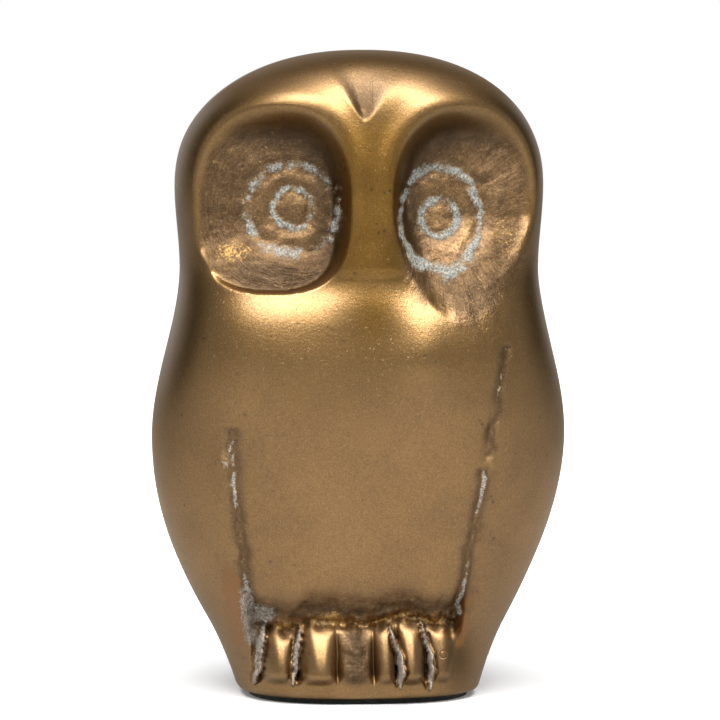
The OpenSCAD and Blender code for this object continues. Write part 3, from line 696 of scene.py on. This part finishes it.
def cast_brass(groups):
    """Satin brass: worn brown-gold skin, raw grainy hollows, verdigris, pale residue, tarnish, with
    painted shade and painted gold glints.
    """
    material, nodes, shader = new_material("cast_brass")
    worn = use_group(nodes, groups["tarnish"], {
        "Bright": (.300, .166, .055, 1), "Middle": (.236, .129, .042, 1),
        "Dark": (.150, .080, .030, 1), "Speck Scale": 2600.0})
    raw = use_group(nodes, groups["tarnish"], {
        "Bright": (.310, .185, .080, 1), "Middle": (.150, .085, .038, 1),
        "Dark": (.050, .028, .014, 1), "Cloud Scale": 420.0, "Speck Scale": 2600.0})
    path = nodes.add("ShaderNodeAttribute", attribute_name="stroke").outputs["Vector"]
    stroke = nodes.maths("MULTIPLY", nodes.remap(nodes.cloud(path, 3.2, 5, .75), .32, .68),
                         nodes.mask("dressed"))
    grain = use_group(nodes, groups["grain"], {})
    raw_mask = use_group(nodes, groups["ragged"], {"Mask": nodes.mask("raw"), "Fray": .6,
                         "Soft": .4})["Mask"]
    green = use_group(nodes, groups["ragged"], {"Mask": nodes.mask("verdigris"), "Scale": 2400.0,
                      "Fray": 1.9, "Threshold": .5, "Soft": .25})["Mask"]
    pale = use_group(nodes, groups["ragged"], {"Mask": nodes.mask("residue"), "Scale": 1900.0,
                     "Fray": 1.5, "Threshold": .62})["Mask"]
    rust = use_group(nodes, groups["ragged"], {"Mask": nodes.mask("rust"), "Scale": 900.0,
                     "Fray": 1.2, "Threshold": .55})["Mask"]
    rings = pin_rings(nodes)
    # Painted shade from the shade mask, together with the real dark rings of the core pins.
    shade = nodes.maths("MULTIPLY", nodes.maths("MAXIMUM", nodes.mask("shade"), rings), .75)
    # Polished upper skin, its colours kept darker than the worn lower skin: partly the real polish,
    # partly painted shade for the dark room reflected in the upper breast.
    polished_with_shade = use_group(nodes, groups["tarnish"], {
        "Bright": (.246, .134, .036, 1), "Middle": (.190, .100, .024, 1),
        "Dark": (.124, .064, .017, 1), "Speck Scale": 2200.0})
    colour = nodes.blend(nodes.mask("satin"), polished_with_shade["Color"], worn["Color"])
    # Dull tarnish and painted shade: darkens the crown, the brow's highlight band and the notch.
    colour = nodes.blend(nodes.maths("MULTIPLY", nodes.mask("matte_and_shade"), .62), colour,
                         (.115, .069, .036, 1))
    # Olive tone on the beak, and painted shade on the middle of the breast.
    colour = nodes.blend(nodes.maths("MULTIPLY", nodes.mask("olive_and_shade"), .75), colour,
                         (.200, .103, .018, 1))
    colour = nodes.blend(raw_mask, colour, raw["Color"])
    fleck = nodes.cloud(nodes.place(), 5200.0, 2, .6)
    colour = nodes.blend(nodes.remap(fleck, .52, .68, 0, .36), colour, (.075, .042, .018, 1))
    colour = nodes.blend(nodes.remap(fleck, .46, .32, 0, .30), colour, (.420, .262, .110, 1))
    between = nodes.maths("SUBTRACT", nodes.mask("dressed"), stroke)
    colour = nodes.blend(nodes.maths("MULTIPLY", between, .75), colour, (.060, .034, .016, 1))
    # Painted shade: darkens towards near-black under the shade mask and on the pin rings.
    colour = nodes.blend(shade, colour, (.050, .030, .016, 1))
    colour = nodes.blend(nodes.maths("MULTIPLY", rust, .7), colour, (.240, .105, .028, 1))
    # Painted highlight: bright gold specks on the hem ridge, the socket shelves and the raw
    # hollows, partly real polished grains.
    polish_and_glint = use_group(nodes, groups["ragged"], {"Mask": nodes.mask("glint"), "Scale": 2200.0,
                     "Fray": 2.4, "Threshold": .72, "Soft": .15})["Mask"]
    colour = nodes.blend(nodes.maths("MULTIPLY", polish_and_glint, .8), colour, (.520, .315, .100, 1))
    colour = nodes.blend(nodes.maths("MULTIPLY", grain["Pits"], .6), colour, (.05, .03, .018, 1))
    crumbs = nodes.remap(nodes.cloud(nodes.place(), 3000.0, 4, .7), .38, .66)
    colour = nodes.blend(nodes.maths("MULTIPLY", green, .88), colour,
                         nodes.blend(crumbs, (.070, .076, .070, 1), (.400, .415, .375, 1)))
    colour = nodes.blend(nodes.maths("MULTIPLY", pale, .85), colour,
                         nodes.blend(crumbs, (.110, .088, .070, 1), (.430, .400, .360, 1)))
    deposit = nodes.maths("MAXIMUM", green, pale)
    rough = nodes.remap(worn["Amount"], 0, 1, .33, .42)
    rough = nodes.maths("ADD", rough, nodes.maths("MULTIPLY", nodes.mask("satin"), .08))
    rough = nodes.maths("ADD", rough, nodes.maths("MULTIPLY", raw_mask, .12))
    rough = nodes.maths("ADD", rough, nodes.maths("MULTIPLY", nodes.mask("matte_and_shade"), .08))
    rough = nodes.maths("SUBTRACT", rough, nodes.maths("MULTIPLY", nodes.mask("toe"), .08))
    rough = nodes.maths("SUBTRACT", rough, nodes.maths("MULTIPLY", polish_and_glint, .15))
    rough = nodes.maths("ADD", rough, nodes.maths("MULTIPLY", deposit, .25))
    nodes.feed(shader.inputs["Base Color"], colour)
    nodes.feed(shader.inputs["Roughness"], rough)
    nodes.feed(shader.inputs["Metallic"], nodes.remap(deposit, 0, 1, 1, .1))
    shader.inputs["Specular Tint"].default_value = (.80, .66, .50, 1)
    height = nodes.maths("MULTIPLY", grain["Height"], nodes.remap(raw_mask, 0, 1, .8, 2.4))
    height = nodes.maths("ADD", height, nodes.maths("MULTIPLY", deposit, .6))
    height = nodes.maths("ADD", height, nodes.maths("MULTIPLY", stroke, 1.2))
    height = nodes.maths("SUBTRACT", height, nodes.maths("MULTIPLY", rings, .4))
    bump = nodes.add("ShaderNodeBump", {"Height": height, "Strength": .6, "Distance": .00012})
    nodes.feed(shader.inputs["Normal"], bump.outputs[0])
    bare = nodes.maths("MAXIMUM", deposit, nodes.maths("MULTIPLY", raw_mask, .7))
    bare = nodes.maths("MAXIMUM", bare, nodes.maths("MULTIPLY", nodes.mask("olive_and_shade"), .85))
    bare = nodes.maths("MAXIMUM", bare, nodes.maths("MULTIPLY", nodes.mask("matte_and_shade"), .6))
    bare = nodes.maths("MAXIMUM", bare, shade)
    nodes.feed(shader.inputs["Coat Weight"], nodes.remap(bare, 0, 1, .7, 0))
    nodes.feed(shader.inputs["Coat Roughness"], nodes.remap(nodes.mask("satin"), 0, 1, .30, .42))
    nodes.feed(shader.inputs["Coat Normal"], bump.outputs[0])
    return material


def sheet_brass(groups, name, bright, dark, roughness):
    """Plain worked brass for the plate, screws and pins: light tarnish over a fine grain."""
    material, nodes, shader = new_material(name)
    skin = use_group(nodes, groups["tarnish"], {
        "Bright": bright, "Middle": tuple((a + b)/2 for a, b in zip(bright, dark)), "Dark": dark,
        "Cloud Scale": 160.0})
    grain = use_group(nodes, groups["grain"], {"Grain Scale": 1800.0, "Grain": .25,
                      "Scratches": .5})
    nodes.feed(shader.inputs["Base Color"], skin["Color"])
    nodes.feed(shader.inputs["Roughness"],
               nodes.remap(skin["Amount"], 0, 1, roughness, roughness + .18))
    shader.inputs["Metallic"].default_value = 1.0
    bump = nodes.add("ShaderNodeBump", {"Height": grain["Height"], "Strength": .3,
                     "Distance": .0001})
    nodes.feed(shader.inputs["Normal"], bump.outputs[0])
    return material


def wool_felt():
    """Pressed wool: matted fibres as stretched noise in two directions, dull and near black."""
    material, nodes, shader = new_material("wool_felt")
    place = nodes.place()
    lanes = [nodes.add("ShaderNodeMapping", {"Vector": place, "Rotation": (0, 0, turn),
             "Scale": (1.0, 7.0, 2.0)}).outputs[0] for turn in (.5, 1.9)]
    fibres = nodes.maths("MAXIMUM", *[nodes.cloud(lane, 900.0, 4, .6, .6) for lane in lanes])
    nodes.feed(shader.inputs["Base Color"], nodes.blend(nodes.remap(fibres, .4, .75),
               (.006, .008, .007, 1), (.030, .038, .032, 1)))
    shader.inputs["Roughness"].default_value = .95
    shader.inputs["Sheen Weight"].default_value = .25
    bump = nodes.add("ShaderNodeBump", {"Height": fibres, "Strength": .7, "Distance": .0003})
    nodes.feed(shader.inputs["Normal"], bump.outputs[0])
    return material


# ---------------------------------------------------------------- camera, floor and light
VIEW_AZIMUTH, VIEW_ELEVATION, VIEW_DISTANCE = -5.0, 3.5, .900
FRAME_WIDTH = .1120


def direction(azimuth, elevation):
    """Unit vector from the object towards a viewer; azimuth 0 stands in front, at -Y."""
    a, e = math.radians(azimuth), math.radians(elevation)
    return Vector((math.sin(a)*math.cos(e), -math.cos(a)*math.cos(e), math.sin(e)))


def aim(thing, target):
    thing.rotation_mode = "QUATERNION"
    thing.rotation_quaternion = (Vector(target) - thing.location).to_track_quat("-Z", "Y")


def make_camera():
    """A long lens that takes in the figure's height with a margin above and below."""
    data = bpy.data.cameras.new("camera")
    camera = bpy.data.objects.new("camera", data)
    bpy.context.scene.collection.objects.link(camera)
    focus = Vector((.00045, 0, .0518))
    camera.location = focus + direction(VIEW_AZIMUTH, VIEW_ELEVATION)*VIEW_DISTANCE
    aim(camera, focus)
    data.sensor_width = 36
    data.lens = data.sensor_width*VIEW_DISTANCE/FRAME_WIDTH
    bpy.context.scene.camera = camera


def make_floor():
    """A plain pale table top, far wider than the view."""
    reach = 1.5
    mesh = bpy.data.meshes.new("floor")
    corners = [(-reach, -reach, 0), (reach, -reach, 0), (reach, reach, 0), (-reach, reach, 0)]
    mesh.from_pydata(corners, [], [(0, 1, 2, 3)])
    floor = bpy.data.objects.new("floor", mesh)
    bpy.context.scene.collection.objects.link(floor)
    material, nodes, shader = new_material("pale_floor")
    seen = nodes.add("ShaderNodeLightPath").outputs["Is Camera Ray"]
    nodes.feed(shader.inputs["Base Color"],
               nodes.blend(seen, (.46, .46, .46, 1), (.88, .88, .88, 1)))
    shader.inputs["Roughness"].default_value = .7
    away = nodes.add("ShaderNodeVectorMath", {0: nodes.place()}, operation="LENGTH")
    glow = nodes.remap(away.outputs["Value"], .03, .22, .12, .9)
    nodes.feed(shader.inputs["Emission Strength"], nodes.maths("MULTIPLY", seen, glow))
    shader.inputs["Emission Color"].default_value = (1, 1, 1, 1)
    dress(floor, material)


def make_sky():
    """Soft room light, dimmer overhead and to the sides behind, with a plain white backdrop."""
    world = bpy.data.worlds.new("studio")
    bpy.context.scene.world = world
    world.use_nodes = True
    nodes = Nodes(world.node_tree)
    way = nodes.add("ShaderNodeTexCoord").outputs["Generated"]
    parts = nodes.add("ShaderNodeSeparateXYZ", {0: way}).outputs
    flank = nodes.maths("ABSOLUTE", nodes.maths("SUBTRACT", parts["Y"], .5))
    room = nodes.maths("MULTIPLY", nodes.remap(flank, .14, .40, .04, .52),
                       nodes.remap(parts["Z"], .1, .9, 1.0, .6))
    seen = nodes.add("ShaderNodeLightPath").outputs["Is Camera Ray"]
    strength = nodes.add("ShaderNodeMix", {0: seen, 2: room, 3: 1.0}, data_type="FLOAT").outputs[0]
    nodes.feed(world.node_tree.nodes["Background"].inputs["Strength"], strength)
    world.node_tree.nodes["Background"].inputs["Color"].default_value = (1, 1, 1, 1)


def make_softbox(name, azimuth, elevation, distance, width, height, watts):
    """A rectangular soft light that faces the figure's middle."""
    data = bpy.data.lights.new(name, "AREA")
    data.shape = "RECTANGLE"
    data.size, data.size_y, data.energy = width, height, watts
    light = bpy.data.objects.new(name, data)
    bpy.context.scene.collection.objects.link(light)
    middle = Vector((0, 0, .05))
    light.location = middle + direction(azimuth, elevation)*distance
    aim(light, middle)


# ---------------------------------------------------------------- the scene
make_camera()
casting = make_casting()
felt = make_felt()
groups = {"tarnish": tarnish_group(), "ragged": ragged_group(), "grain": grain_group()}
dress(casting, cast_brass(groups))
dress(felt, wool_felt())
for node, bright, dark, roughness in (
        ("base_plate", (.55, .38, .16, 1), (.33, .21, .085, 1), .28),
        ("base_screws", (.60, .43, .19, 1), (.36, .24, .10, 1), .24),
        ("core_pins", (.22, .14, .07, 1), (.10, .06, .03, 1), .42)):
    dress(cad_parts[node], sheet_brass(groups, node + "_brass", bright, dark, roughness))

for piece, node, slot in ((casting, "cast_body", "cast_brass"), (felt, "felt_pad", "felt")):
    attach(piece, "root")
    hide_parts(node)

make_floor()
make_sky()
make_softbox("left_light", -33, 52, .9, .50, .44, 11.5)
make_softbox("right_light", 25, 52, .9, .42, .44, 10)
bpy.context.scene.view_settings.view_transform = "Standard"
